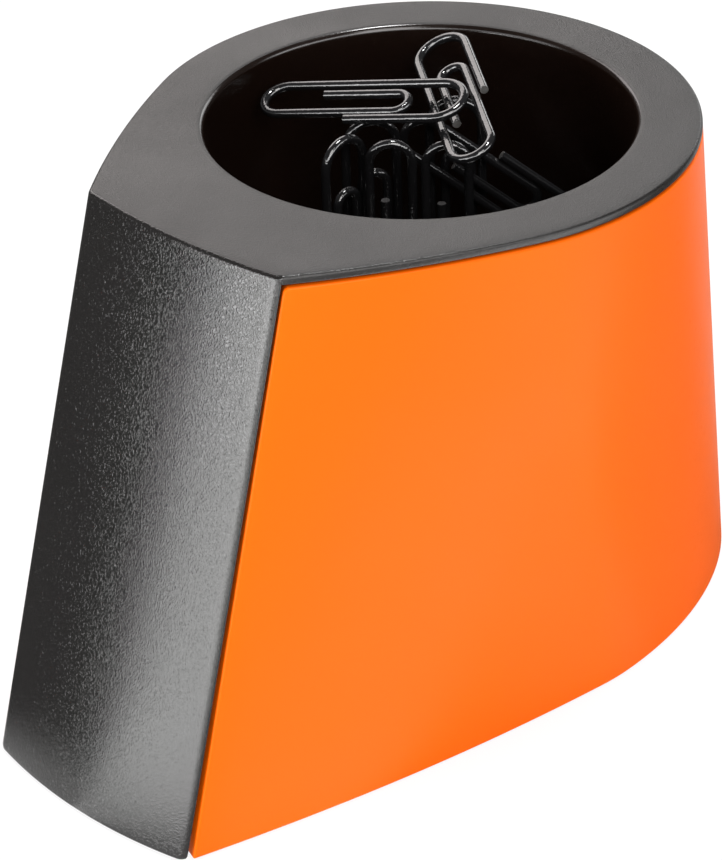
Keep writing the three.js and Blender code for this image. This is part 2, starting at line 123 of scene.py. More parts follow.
def axis_shift():
    """Distance of the cup's axis behind the origin, which is the middle of the holder's length."""
    level = (PAD_PROUD + EDGE_ROUND) / HEIGHT
    back = [FOOT.centre_y + FOOT.end_radius * FOOT.stretch, RIM.centre_y + RIM.end_radius]
    front = [FOOT.corner_y - FOOT.bow, RIM.corner_y - RIM.bow]
    return -sum(a + (b - a) * level for a, b in (back, front)) / 2


AXIS_Y = axis_shift()

# Gem clips: legs and bends of the wire
CLIP_LENGTH = 28.0
WIRE_RADIUS = 0.6
OUTER_BEND = 3.3
LOWER_BEND = 2.65
INNER_BEND = 1.7
INNER_SETBACK = 7.2
OUTER_LEG_START = 12.5
INNER_LEG_END = 8.5
WIRE_BEVEL = 0.06
STANDING = CUP_BOTTOM + GAP + CLIP_LENGTH / 2
STANDING_TOP = STANDING + CLIP_LENGTH / 2

# Middle of each clip, and the slope, heading and roll of its long axis in degrees
CLIP_PLACES = {
    "clip_standing_1": (-4.1, -0.2, STANDING, -88, 135, 180),
    "clip_standing_2": (2.0, 3.5, STANDING, -88, -45, 0),
    "clip_standing_3": (-9.2, -4.1, STANDING, 90, 0, 0),
    "clip_standing_4": (-10.4, 1.9, STANDING, 90, -30, 0),
    "clip_standing_5": (-6.4, 13.2, STANDING, 90, -45, 0),
    "clip_leaning": (-1.6, 15.2, STANDING + 3, -38, 45, 90),
    "clip_lying_lower": (-2.2, 9.2, STANDING_TOP + 2.8, 6, 144, 155),
    "clip_lying_upper": (-11.5, 1.7, STANDING_TOP + 1.8, 9, 24, -164),
}
# Clips with bare metal on their cut ends; the others are dipped in lacquer
BARE_ENDS = ("clip_leaning", "clip_lying_lower", "clip_lying_upper")
# Bodies of the clips that can be lifted out; the rest stay with the holder
BODIES = {
    "clip_standing_1": "standing_clip_1",
    "clip_standing_3": "standing_clip_3",
    "clip_lying_upper": "upper_clip",
}


# Outline

def unit(vector):
    """Vectors of length 1 in the same directions."""
    return vector / np.linalg.norm(vector, axis=-1, keepdims=True)


def tangent_angle(plan):
    """Angle from +Y, clockwise, at which the side arc leaves the round end and still meets the corner."""
    shift = plan.side_radius - plan.end_radius
    reach = np.hypot(plan.corner_x, plan.corner_y - plan.centre_y)
    bearing = np.arctan2(plan.corner_x, plan.corner_y - plan.centre_y)
    cosine = (plan.side_radius**2 - shift**2 - reach**2) / (2 * shift * reach)
    return bearing - np.arccos(cosine)


def side_arc(plan, t):
    """Points of the side from the corner, t = 0, to the round end, t = 1, on one arc."""
    angle = tangent_angle(plan)
    shift = plan.side_radius - plan.end_radius
    x = -shift * sin(angle)
    y = plan.centre_y - shift * cos(angle)
    end = np.arctan2(plan.corner_x - x, plan.corner_y - y)
    at = end + (angle - end) * np.asarray(t)
    return np.stack([x + plan.side_radius * np.sin(at), y + plan.side_radius * np.cos(at)], axis=-1)


def panel_arc(plan, t):
    """Points of the bowed front from its middle, t = 0, to the corner, t = 1, on one arc."""
    radius = (plan.corner_x**2 + plan.bow**2) / (2 * plan.bow)
    at = np.arcsin(plan.corner_x / radius) * np.asarray(t)
    return np.stack([radius * np.sin(at), plan.corner_y - plan.bow + radius - radius * np.cos(at)], axis=-1)


def end_arc(plan, t):
    """Points of the round end from the side, t = 0, to the middle of the back, t = 1, on an ellipse."""
    at = tangent_angle(plan) * (1 - np.asarray(t))
    y = plan.end_radius * np.cos(at)
    y = plan.centre_y + np.where(y > 0, y * plan.stretch, y)
    return np.stack([plan.end_radius * np.sin(at), y], axis=-1)


def moved_in(plan, distance):
    """The outline moved inwards by a distance, as a wall's inner face is."""
    side = unit(side_arc(plan, 0.02) - plan.corner())
    panel = unit(panel_arc(plan, 0.98) - plan.corner())
    half = np.arccos(np.dot(side, panel)) / 2
    x, y = plan.corner() + unit(side + panel) * distance / sin(half)
    radius = plan.end_radius - distance
    stretch = (plan.end_radius * plan.stretch - distance) / radius
    side_radius = plan.side_radius - distance
    return Outline(plan.centre_y, radius, stretch, side_radius, x, y, plan.bow)


def corner_curve(plan, s):
    """Rounding between the front, s = 0, and the side, s = 1, as a quadratic curve."""
    corner = plan.corner()
    panel_trim = 1 - CORNER_RADIUS / np.linalg.norm(panel_arc(plan, 0.0) - corner)
    side_trim = CORNER_RADIUS / np.linalg.norm(side_arc(plan, 1.0) - corner)
    a, b = panel_arc(plan, panel_trim), side_arc(plan, side_trim)
    s = np.asarray(s)[..., None]
    return (1 - s) ** 2 * a + 2 * s * (1 - s) * corner + s**2 * b, panel_trim, side_trim, (a, corner, b)


def corner_cut(plan, y):
    """Where on the corner's rounding a plane at y cuts it: the root of its quadratic."""
    a, corner, b = corner_curve(plan, 0.0)[3]
    square = a[1] - 2 * corner[1] + b[1]
    linear = 2 * (corner[1] - a[1])
    return (-linear + np.sqrt(linear**2 - 4 * square * (a[1] - y))) / (2 * square)


def both_halves(half):
    """Right half of a closed outline, joined to its mirror image without doubling the two middles."""
    left = half[-2:0:-1] * [-1, 1]
    return np.concatenate([half, left])


def closed_outline(plan):
    """Whole outline from the middle of the front, round by the right."""
    corner, panel_trim, side_trim, _ = corner_curve(plan, np.linspace(0, 1, 9))
    half = np.concatenate([
        panel_arc(plan, panel_trim * np.linspace(0, 1, 24, endpoint=False)),
        corner,
        side_arc(plan, side_trim + (1 - side_trim) * np.linspace(0, 1, 40, endpoint=False)[1:]),
        end_arc(plan, np.linspace(0, 1, 66)),
    ])
    return both_halves(half)


def panel_outline(plan):
    """Open outline of the front from its left return to its right one, by the middle."""
    cut = corner_cut(plan, plan.corner_y + PANEL_RETURN)
    corner, panel_trim, _, _ = corner_curve(plan, np.linspace(0, cut, 9))
    half = np.concatenate([
        panel_arc(plan, panel_trim * np.linspace(0, 1, 40, endpoint=False)),
        corner,
    ])
    return np.concatenate([half[:0:-1] * [-1, 1], half])


def wrap_outline(plan):
    """Open outline of the wrap from its right seam to the middle of the back. Its first points lie at
    the distances of the edge's rows along the side's arc."""
    first = side_arc(plan, 0.0)
    run = side_arc(plan, 1.0) - first
    start = (plan.corner_y + SEAM - first[1]) / run[1]
    near_edge = start + EDGE_STEPS / np.linalg.norm(run)
    beyond = np.linspace(near_edge[-1], 1, 52, endpoint=False)[1:]
    return np.concatenate([
        side_arc(plan, near_edge),
        side_arc(plan, beyond),
        end_arc(plan, np.linspace(0, 1, 60)),
    ])


def at_level(foot, rim, z):
    """Points of a ruled surface between the foot's and the rim's outlines, at levels z."""
    share = np.asarray(z)[..., None] / HEIGHT
    flat = foot + (rim - foot) * share
    level = np.broadcast_to(np.asarray(z, dtype=float), flat.shape[:-1])
    return np.concatenate([flat, level[..., None]], axis=-1)


# Meshes

def grid_quads(rows, columns, closed):
    """Faces of a grid of points, row after row, open or closed along its rows."""
    span = columns if closed else columns - 1
    row, column = np.meshgrid(np.arange(rows - 1), np.arange(span), indexing="ij")
    a = row * columns + column
    b = row * columns + (column + 1) % columns
    return np.stack([a, b, b + columns, a + columns], axis=-1).reshape(-1, 4)


def strip_quads(first, second):
    """Faces between two lists of points of equal length."""
    return np.stack([first[:-1], first[1:], second[1:], second[:-1]], axis=-1)


def enclosed(points, faces):
    """Volume inside a closed surface, from the pyramids between its faces and the origin."""
    total = 0.0
    for ring in faces:
        corners = points[np.asarray(ring)]
        for i in range(1, corners.shape[1] - 1):
            total += np.einsum("ij,ij->", corners[:, 0], np.cross(corners[:, i], corners[:, i + 1]))
    return total / 6


def build_piece(name, points, faces, materials, marks=None, sharp=35.0):
    """Mesh object from points in millimetres about the cup's axis. faces is a list of index arrays and
    marks the material number of each face. Faces are turned to point outwards."""
    placed = (points + [0, AXIS_Y, 0]) * MM
    if enclosed(points, faces) < 0:
        faces = [ring[:, ::-1] for ring in faces]
    mesh = bpy.data.meshes.new(name)
    mesh.from_pydata(placed.tolist(), [], [face for ring in faces for face in ring.tolist()])
    for material in materials:
        mesh.materials.append(material)
    if marks is not None:
        mesh.polygons.foreach_set("material_index", np.concatenate(marks).astype(np.int32))
    mesh.shade_smooth()
    mesh.set_sharp_from_angle(angle=radians(sharp))
    mesh.validate()
    mesh.update()
    piece = bpy.data.objects.new(name, mesh)
    bpy.context.scene.collection.objects.link(piece)
    return piece


def capped_rows(rows, start, end):
    """Points and faces of a stack of closed rings between two poles."""
    count = rows.shape[1]
    points = np.concatenate([rows.reshape(-1, 3), [start, end]])
    ring = np.arange(count)
    after = np.roll(ring, -1)
    last = (len(rows) - 1) * count
    first_pole = len(points) - 2
    cap = np.stack([after, ring, np.full(count, first_pole)], axis=-1)
    tail = np.stack([ring + last, after + last, np.full(count, first_pole + 1)], axis=-1)
    return points, [grid_quads(len(rows), count, True), cap, tail]


def slab(outer, inner):
    """Closed wall between two open grids of equal size, with strips along its four borders."""
    rows, columns = outer.shape[:2]
    points = np.concatenate([outer.reshape(-1, 3), inner.reshape(-1, 3)])
    number = np.arange(rows * columns).reshape(rows, columns)
    behind = number + rows * columns
    front = grid_quads(rows, columns, False)
    borders = [
        strip_quads(behind[0], number[0]),
        strip_quads(number[-1], behind[-1]),
        strip_quads(number[:, 0], behind[:, 0]),
        strip_quads(behind[:, -1], number[:, -1]),
    ]
    return points, [front, front[:, ::-1] + rows * columns, *borders]


# Black moulding

def profile_arc(radius, z, size, start, end, steps):
    """Profile of a fillet as radius and height: an arc about a centre, between two angles in degrees."""
    at = np.radians(np.linspace(start, end, steps + 1))
    return np.stack([radius + size * np.cos(at), z + size * np.sin(at)], axis=-1)


def cup_profile():
    """Inside of the cup as radius and height, from near the middle of its floor to the top of the lip."""
    floor_radius = OPENING_RADIUS - CUP_DRAFT - CUP_FILLET
    shares = np.linspace(0, 1, 6)[1:-1]
    return np.concatenate([
        np.stack([floor_radius * shares, np.full(len(shares), CUP_BOTTOM)], axis=-1),
        profile_arc(floor_radius, CUP_BOTTOM + CUP_FILLET, CUP_FILLET, -90, 0, 10),
        np.stack([
            np.linspace(OPENING_RADIUS - CUP_DRAFT, LIP_RADIUS, 14)[1:-1],
            np.linspace(CUP_BOTTOM + CUP_FILLET, HEIGHT - LIP_FILLET, 14)[1:-1],
        ], axis=-1),
        profile_arc(LIP_RADIUS + LIP_FILLET, HEIGHT - LIP_FILLET, LIP_FILLET, 180, 90, 9),
    ])


def rim_level(inset, z):
    """Ring of the holder's outer surface at one height, moved inwards."""
    return at_level(closed_outline(moved_in(FOOT, inset)), closed_outline(moved_in(RIM, inset)), z)


def rim_rows():
    """Rings of the rim and cup from the middle of the cup's floor outwards, over the rim, down its band,
    under it and back along the cup's outside. With them come the numbers of the rings at which the rim's
    grain starts, the band's grain starts and the band ends, and which points stand over the panel."""
    rim = closed_outline(RIM)
    bearing = np.arctan2(rim[:, 0], rim[:, 1])
    spread = np.stack([np.sin(bearing), np.cos(bearing), np.zeros_like(bearing)], axis=-1)
    up = np.array([0, 0, 1.0])

    def circle(radius, z):
        return spread * radius + up * z

    over_panel = (np.abs(rim[:, 0]) < RIM.corner_x + 1) & (rim[:, 1] < RIM.corner_y + PANEL_RETURN)
    rows = [circle(radius, z) for radius, z in cup_profile()]
    rim_start = len(rows) - LIP_GRAINED_ROWS
    flat = rim_level(CROWN_WIDTH, HEIGHT)
    rows += [rows[-1] + (flat - rows[-1]) * share for share in (0.25, 0.5, 0.75, 1)]
    share = np.linspace(0, 1, 6)[1:-1]
    for inset, z in zip(CROWN_WIDTH + (RIM_FILLET - CROWN_WIDTH) * share, HEIGHT - CROWN_DROP * share**2):
        rows.append(rim_level(inset, z))
    turn = np.radians(np.linspace(90 - CROWN_SLOPE, 0, 8))
    centre = HEIGHT - CROWN_DROP - RIM_FILLET
    for inset, z in zip(RIM_FILLET * (1 - np.cos(turn)), centre + RIM_FILLET * np.sin(turn)):
        rows.append(rim_level(inset, z))
    band_start = len(rows) - FILLET_GRAINED_ROWS
    band_bottom = HEIGHT - RIM_BAND
    behind = rim_level(PANEL_BEHIND_BAND, 0)[:, :2] - rim_level(0, 0)[:, :2]
    under_turn = np.radians(np.linspace(0, 90, 5))
    for inset, z in BAND_ROUND * np.stack([1 - np.cos(under_turn), 1 - np.sin(under_turn)], axis=-1):
        row = rim_level(inset, band_bottom + z)
        row[over_panel, :2] += behind[over_panel]
        rows.append(row)
    band_end = len(rows) - 1
    step_bottom = HEIGHT - RIM_STEP
    under = HEIGHT - RIM_THICKNESS
    tongue = STEP_INSET + TONGUE_WALL
    rows += [rim_level(STEP_INSET, band_bottom), rim_level(STEP_INSET, step_bottom)]
    rows += [rim_level(tongue, step_bottom), rim_level(tongue, under)]
    outside = OPENING_RADIUS + CUP_WALL
    floor_out = outside - CUP_DRAFT - CUP_FILLET
    below = CUP_BOTTOM - CUP_FLOOR
    rows.append(circle(outside, under))
    underside = profile_arc(floor_out, below + CUP_FILLET, CUP_FILLET, 0, -90, 6)
    rows += [circle(radius, z) for radius, z in underside]
    return np.array(rows), (rim_start, band_start, band_end), over_panel


def make_rim_and_cup(finishes):
    """Rim ring with the cup that hangs in it, as one closed surface between the cup floor's two faces.
    The finishes are for the cup, the rim, the band over the panel and the rest of the band."""
    rows, (rim_start, band_start, band_end), over_panel = rim_rows()
    points, faces = capped_rows(rows, [0, 0, CUP_BOTTOM], [0, 0, CUP_BOTTOM - CUP_FLOOR])
    columns = rows.shape[1]
    strips = np.zeros((len(rows) - 1, columns), dtype=int)
    strips[rim_start:band_start] = 1
    strips[band_start:band_end] = np.where(over_panel, 2, 3)
    marks = [strips.ravel(), np.zeros(columns), np.zeros(columns)]
    return build_piece("rim_and_cup", points, faces, finishes, marks)


def make_front_panel(finish):
    """Front panel: the ruled surface between the bowed foot and rim, closed by a flat back between its
    two returns. Rows run from the rounded lower edge to a lip tucked under the rim's fillet. Near the foot
    the corners come in along a quarter circle, which rounds the panel's lower corners."""
    turn = np.radians(np.linspace(0, 90, 6))
    bottom = EDGE_ROUND * np.stack([1 - np.sin(turn), 1 - np.cos(turn)], axis=-1)
    under_rim = HEIGHT - CROWN_DROP - RIM_FILLET
    levels = np.linspace(PAD_PROUD + EDGE_ROUND, under_rim, 200)[1:]
    insets = np.concatenate([bottom[:, 0], np.zeros(len(levels)), [PANEL_TUCK_IN]])
    z = np.concatenate([PAD_PROUD + bottom[:, 1], levels, [under_rim + PANEL_TUCK_UP]])
    rows = []
    for inset, level in zip(insets, z):
        short = max(PANEL_CORNER - (level - PAD_PROUD), 0)
        drop = PANEL_CORNER - np.sqrt(PANEL_CORNER**2 - short**2)
        foot = PANEL_FOOT._replace(corner_x=PANEL_FOOT.corner_x - drop)
        front = at_level(panel_outline(foot), panel_outline(RIM), level)
        front[:, 1] += inset
        share = np.linspace(0, 1, 14)[1:-1, None]
        back = front[-1] + (front[0] - front[-1]) * share
        back[:, 1] = front[0, 1]
        rows.append(np.concatenate([front, back]))
    rows = np.array(rows)
    count = rows.shape[1]
    ring = np.arange(count)
    faces = [grid_quads(len(rows), count, True), ring[None, ::-1], ring[None] + (len(rows) - 1) * count]
    return build_piece("front_panel", rows.reshape(-1, 3), faces, [finish])


# Orange wrap

def wrap_grid(inset):
    """Grid of the wrap at one depth in its wall: columns from the right seam round the back to the left
    one, and rows from the foot to the top. Near the edges the outer face falls back along a quarter
    circle of the edge's radius, and the corners of the face follow a circle of their own."""
    foot_half, rim_half = wrap_outline(FOOT), wrap_outline(RIM)
    joined = [np.concatenate([half, half[-2::-1] * [-1, 1]]) for half in (foot_half, rim_half)]
    columns = len(joined[0])
    from_right = np.full(columns, EDGE_STEPS[-1])
    from_right[:len(EDGE_STEPS)] = EDGE_STEPS
    from_side = np.minimum(from_right, from_right[::-1])
    low, high = PAD_PROUD, WRAP_TOP
    z = np.concatenate([
        low + EDGE_STEPS,
        np.linspace(low + EDGE_CLEAR, high - EDGE_CLEAR, 50),
        (high - EDGE_STEPS)[::-1],
    ])
    side, level = np.meshgrid(from_side, z)
    rise = np.minimum(level - low, high - level)
    # In the square of the rounded corner, points outside the circle come onto it
    lower = level - low < high - level
    corner = np.where(lower, FOOT_CORNER, TOP_CORNER)
    dx = np.maximum(corner - side, 0)
    dz = np.maximum(corner - rise, 0)
    reach = np.hypot(dx, dz)
    pull = np.where(reach > corner, corner / np.maximum(reach, 1e-9), 1)
    shift = dx * (1 - pull)
    lift = dz * (1 - pull) * np.where(lower, 1, -1)
    edge = np.minimum(corner - np.minimum(reach, corner), EDGE_ROUND)
    rounding = (inset == 0) * (EDGE_ROUND - np.sqrt(EDGE_ROUND**2 - (EDGE_ROUND - edge) ** 2))
    grid = at_level(joined[0], joined[1], level + lift)
    along = unit(np.gradient(grid[..., :2], axis=1))
    outward = np.stack([along[..., 1], -along[..., 0]], axis=-1)
    right = np.arange(columns) < columns / 2
    turned = np.where(right, 1, -1)[None, :, None]
    grid[..., :2] += along * turned * shift[..., None]
    grid[..., :2] -= outward * (inset + rounding)[..., None]
    return grid


def make_wrap(finish):
    """Wrap: a wall of even thickness between the outer grid and the same grid moved in."""
    points, faces = slab(wrap_grid(0.0), wrap_grid(WALL))
    return build_piece("orange_wrap", points, faces, [finish], sharp=50.0)


# Clips

def wire_line():
    """Centreline of a gem clip in its own plane, as legs and half-circle bends joined end to end."""
    bottom = WIRE_RADIUS - CLIP_LENGTH / 2
    outer = CLIP_LENGTH / 2 - WIRE_RADIUS - OUTER_BEND
    lower = bottom + LOWER_BEND
    inner = outer + OUTER_BEND - INNER_SETBACK - INNER_BEND
    long_x = -OUTER_BEND
    middle_x = long_x + 2 * LOWER_BEND
    inner_x = middle_x - 2 * INNER_BEND

    def leg(x, start, end, steps):
        z = np.linspace(start, end, steps, endpoint=False)
        return np.stack([np.full(steps, x), z], axis=-1)

    def bend(x, z, radius, start, steps):
        at = start + np.linspace(0, pi, steps, endpoint=False)
        return np.stack([x + radius * np.cos(at), z + radius * np.sin(at)], axis=-1)

    return np.concatenate([
        leg(OUTER_BEND, OUTER_LEG_START - CLIP_LENGTH / 2, outer, 12),
        bend(0, outer, OUTER_BEND, 0, 26),
        leg(long_x, outer, lower, 12),
        bend(long_x + LOWER_BEND, lower, LOWER_BEND, pi, 22),
        leg(middle_x, lower, inner, 12),
        bend(middle_x - INNER_BEND, inner, INNER_BEND, 0, 18),
        leg(inner_x, inner, INNER_LEG_END - CLIP_LENGTH / 2, 8),
        [[inner_x, INNER_LEG_END - CLIP_LENGTH / 2]],
    ])


def wire_rows(line, sides=14):
    """Rings of a round wire along a flat line: at each point, the wire's radius times the cosine across
    the line in its plane and times the sine along the plane's normal. The cut ends have a small bevel."""
    along = unit(np.gradient(line, axis=0))
    across = np.stack([along[:, 1], -along[:, 0]], axis=-1)
    turn = np.linspace(0, 2 * pi, sides, endpoint=False)
    line = np.concatenate([
        line[:1],
        line[:1] + along[:1] * WIRE_BEVEL,
        line[1:-1],
        line[-1:] - along[-1:] * WIRE_BEVEL,
        line[-1:],
    ])
    across = np.concatenate([across[:1], across, across[-1:]])
    size = np.full(len(line), WIRE_RADIUS)
    size[[0, -1]] -= WIRE_BEVEL
    plane = line[:, None] + across[:, None] * (size[:, None] * np.cos(turn))[..., None]
    normal = size[:, None] * np.sin(turn)
    return np.stack([plane[..., 0], normal, plane[..., 1]], axis=-1), line


def clip_turn(slope, heading, roll):
    """Axes of a placed clip as rows: across, its plane's normal, and its long axis."""
    rise, turn = radians(slope), radians(heading)
    along = Vector((cos(turn) * cos(rise), sin(turn) * cos(rise), sin(rise)))
    across = Vector((-sin(turn), cos(turn), 0))
    across.rotate(Matrix.Rotation(radians(roll), 3, along))
    face = along.cross(across)
    return np.array([across, face, along])


def make_clip(name, place, finishes):
    """One clip: the wire's rings turned and moved to their place. The finishes are for the wire and for
    its two cut ends."""
    *middle, slope, heading, roll = place
    rows, line = wire_rows(wire_line())
    turn = clip_turn(slope, heading, roll)
    rows = rows @ turn + middle
    poles = [np.array([line[i, 0], 0, line[i, 1]]) @ turn + middle for i in (0, -1)]
    points, faces = capped_rows(rows, *poles)
    sides = rows.shape[1]
    marks = [np.zeros(len(faces[0])), np.ones(sides), np.ones(sides)]
    return build_piece(f"{name}_wire", points, faces, finishes, marks)


# Materials

LACQUER_IOR = 1.65
# How steeply the grain's ridges rise, and how much finer the noise on them is
RIDGE_STEEPNESS = 5.0
FINE_RATIO = 2.7
# Specks per metre, the noise above which there is one, and the span of the mask that changes the gloss
SPECK_FREQUENCY = 1400.0
SPECK_LEVEL = 0.76
MASK_LOW = 0.3
MASK_HIGH = 0.7


def new_group(name, inputs, outputs):
    """Empty shader node group with named number sockets."""
    group = bpy.data.node_groups.new(name, "ShaderNodeTree")
    for label, default in inputs:
        socket = group.interface.new_socket(label, in_out="INPUT", socket_type="NodeSocketFloat")
        socket.default_value = default
    for label in outputs:
        group.interface.new_socket(label, in_out="OUTPUT", socket_type="NodeSocketFloat")
    return group, group.nodes.new("NodeGroupInput"), group.nodes.new("NodeGroupOutput")


def math_node(nodes, links, operation, first, second):
    """Result of an operation on two numbers or sockets."""
    node = nodes.new("ShaderNodeMath")
    node.operation = operation
    for socket, value in zip(node.inputs, (first, second)):
        if isinstance(value, (int, float)):
            socket.default_value = value
        else:
            links.new(value, socket)
    return node.outputs[0]


def map_range(nodes, links, value, start, end, low=0, high=1, ease="LINEAR"):
    """Number that goes from low to high while a socket's value goes from start to end."""
    node = nodes.new("ShaderNodeMapRange")
    node.interpolation_type = ease
    for label, number in (("From Min", start), ("From Max", end), ("To Min", low), ("To Max", high)):
        node.inputs[label].default_value = number
    links.new(value, node.inputs["Value"])
    return node.outputs["Result"]


def noise(nodes, links, scale, detail, roughness=0.5, distortion=0.0):
    """Noise on Object coordinates, from 0 to 1. scale is a number or a socket, per metre."""
    where = nodes.new("ShaderNodeTexCoord")
    node = nodes.new("ShaderNodeTexNoise")
    links.new(where.outputs["Object"], node.inputs["Vector"])
    node.inputs["Detail"].default_value = detail
    node.inputs["Roughness"].default_value = roughness
    node.inputs["Distortion"].default_value = distortion
    if isinstance(scale, (int, float)):
        node.inputs["Scale"].default_value = scale
    else:
        links.new(scale, node.inputs["Scale"])
    return node.outputs["Fac"]


def moulded_grain():
    """Height of a spark-eroded mould's grain: rounded worm-like ridges from the fold of a noise about
    its middle, with a finer noise on them. Frequency is in ridges per metre."""
    group, start, end = new_group("moulded_grain", [("Frequency", 2200.0), ("Fine share", 0.3)], ["Height"])
    nodes, links = group.nodes, group.links
    frequency = start.outputs["Frequency"]
    coarse = noise(nodes, links, frequency, detail=1, roughness=0.45, distortion=0.6)
    fold = math_node(nodes, links, "ABSOLUTE", math_node(nodes, links, "SUBTRACT", coarse, 0.5), 0)
    risen = math_node(nodes, links, "MULTIPLY", fold, RIDGE_STEEPNESS)
    ridges = math_node(nodes, links, "MINIMUM", risen, 1.0)
    fine_scale = math_node(nodes, links, "MULTIPLY", frequency, FINE_RATIO)
    fine = noise(nodes, links, fine_scale, detail=1)
    fine_part = math_node(nodes, links, "MULTIPLY", fine, start.outputs["Fine share"])
    links.new(math_node(nodes, links, "ADD", ridges, fine_part), end.inputs["Height"])
    return group


def handling():
    """Mask of faint smudges and dust that changes a surface's gloss: broad cloudy noise with a few fine
    specks. It is about 0.5 on average."""
    group, start, end = new_group("handling", [("Cloud size", 60.0), ("Specks", 0.3)], ["Mask"])
    nodes, links = group.nodes, group.links
    cloud = noise(nodes, links, start.outputs["Cloud size"], detail=5, roughness=0.6, distortion=0.3)
    speck = noise(nodes, links, SPECK_FREQUENCY, detail=0)
    sharp = math_node(nodes, links, "GREATER_THAN", speck, SPECK_LEVEL)
    part = math_node(nodes, links, "MULTIPLY", sharp, start.outputs["Specks"])
    links.new(math_node(nodes, links, "ADD", cloud, part), end.inputs["Mask"])
    return group


def placed_group(material, group, values):
    """Node for a group in a material, with its own values. A group is built once, under the name of the
    function that builds it."""
    node = material.node_tree.nodes.new("ShaderNodeGroup")
    node.node_tree = bpy.data.node_groups.get(group.__name__) or group()
    for label, value in values.items():
        node.inputs[label].default_value = value
    return node


class Gloss(NamedTuple):
    """Lowest and highest roughness, clouds of the handling mask per metre and the share of specks."""

    low: float
    high: float
    clouds: float = 60.0
    specks: float = 0.04


class Grain(NamedTuple):
    """Ridges per metre, their height in metres and the share of finer ridges on them."""

    frequency: float
    depth: float
    fine_share: float


def vary_roughness(material, shader, gloss):
    """Roughness between two values by the handling mask, which is returned."""
    nodes, links = material.node_tree.nodes, material.node_tree.links
    mask = placed_group(material, handling, {"Cloud size": gloss.clouds, "Specks": gloss.specks})
    roughness = map_range(nodes, links, mask.outputs["Mask"], MASK_LOW, MASK_HIGH, gloss.low, gloss.high)
    links.new(roughness, shader.inputs["Roughness"])
    return mask


def vary_color(material, shader, mask, color, shade):
    """Base colour between the plain one and the plain one times a factor, by the handling mask."""
    nodes, links = material.node_tree.nodes, material.node_tree.links
    mix = nodes.new("ShaderNodeMix")
    mix.data_type = "RGBA"
    links.new(mask.outputs["Mask"], mix.inputs["Factor"])
    mix.inputs["A"].default_value = (*color, 1)
    mix.inputs["B"].default_value = (*[c * shade for c in color], 1)
    links.new(mix.outputs["Result"], shader.inputs["Base Color"])


def add_grain(material, shader, grain):
    """Bump from the moulded grain."""
    nodes, links = material.node_tree.nodes, material.node_tree.links
    height = placed_group(
        material, moulded_grain, {"Frequency": grain.frequency, "Fine share": grain.fine_share})
    bump = nodes.new("ShaderNodeBump")
    bump.inputs["Strength"].default_value = 1
    bump.inputs["Distance"].default_value = grain.depth
    links.new(height.outputs["Height"], bump.inputs["Height"])
    links.new(bump.outputs["Normal"], shader.inputs["Normal"])


def surface(name, color, gloss, grain, shade, metallic=0.0, ior=1.46, specular=0.5):
    """Material with what every surface here has: a handled gloss, an uneven colour and a grain."""
    material = bpy.data.materials.new(name)
    material.use_nodes = True
    shader = material.node_tree.nodes["Principled BSDF"]
    shader.inputs["Metallic"].default_value = metallic
    shader.inputs["IOR"].default_value = ior
    shader.inputs["Specular IOR Level"].default_value = specular
    mask = vary_roughness(material, shader, gloss)
    vary_color(material, shader, mask, tuple(color), shade)
    add_grain(material, shader, grain)
    return material


def coarse_black(finish):
    """Front panel, and the rim's band over it."""
    grain = Grain(finish.grain_frequency, finish.grain_depth, 0.3)
    return surface("coarse_grained_black", finish.black_color, Gloss(0.08, 0.12), grain, shade=1.35)


def edge_black(finish):
    """Band of the rim over the wrap, duller than the panel."""
    grain = Grain(finish.grain_frequency, finish.grain_depth, 0.3)
    return surface("edge_black", finish.black_color, Gloss(0.26, 0.36), grain, shade=1.35, specular=0.32)


def fine_black(finish):
    """Top of the rim."""
    grain = Grain(finish.grain_frequency, finish.grain_depth * 1.2, 0.5)
    return surface("fine_grained_black", finish.black_color, Gloss(0.46, 0.56), grain, shade=1.25)


def gloss_black():
    """Inside of the cup."""
    color = (0.006, 0.003, 0.002)
    gloss = Gloss(0.12, 0.24, clouds=90.0, specks=0.6)
    return surface("glossy_black", color, gloss, Grain(900.0, 0.000004, 0.2), shade=1.3)


def orange_satin(finish):
    """Wrap: satin, and weak in its mirror light."""
    gloss = Gloss(0.34, 0.42, clouds=40.0, specks=0.2)
    grain = Grain(1800.0, 0.0000015, 0.4)
    return surface("orange_satin", finish.wrap_color, gloss, grain, shade=0.97, specular=0.12)


def black_lacquer(name, low, high):
    """Lacquer with a roughness between two values: smooth on the wire, dull on a dipped end."""
    color = (0.006, 0.006, 0.0065)
    gloss = Gloss(low, high, clouds=400.0, specks=0.5)
    return surface(name, color, gloss, Grain(1200.0, 0.00001, 0.2), shade=1.6, ior=LACQUER_IOR)


def cut_steel():
    """Bare end of a wire."""
    gloss = Gloss(0.35, 0.6, clouds=2000.0, specks=0.5)
    grain = Grain(4000.0, 0.00001, 0.5)
    return surface("cut_steel", (0.3, 0.29, 0.28), gloss, grain, shade=0.7, metallic=1.0)


def base_black():
    """Base plate and magnet cap."""
    gloss = Gloss(0.48, 0.62, specks=0.3)
    return surface("base_black", (0.03, 0.03, 0.031), gloss, Grain(1800.0, 0.00003, 0.3), shade=1.3)


def pad_rubber():
    """Foot pads."""
    gloss = Gloss(0.75, 0.95, clouds=300.0, specks=0.8)
    return surface("pad_rubber", (0.018, 0.018, 0.019), gloss, Grain(2500.0, 0.00002, 0.6), shade=2.0)


def zinc_steel():
    """Base screws."""
    gloss = Gloss(0.24, 0.42, clouds=500.0, specks=0.4)
    grain = Grain(3000.0, 0.000006, 0.4)
    return surface("zinc_steel", (0.6, 0.61, 0.62), gloss, grain, shade=0.85, metallic=1.0)


def ground_ferrite():
    """Magnet."""
    gloss = Gloss(0.5, 0.7, clouds=200.0, specks=0.5)
    return surface("ground_ferrite", (0.05, 0.05, 0.053), gloss, Grain(4000.0, 0.00001, 0.8), shade=1.5)


# Stage

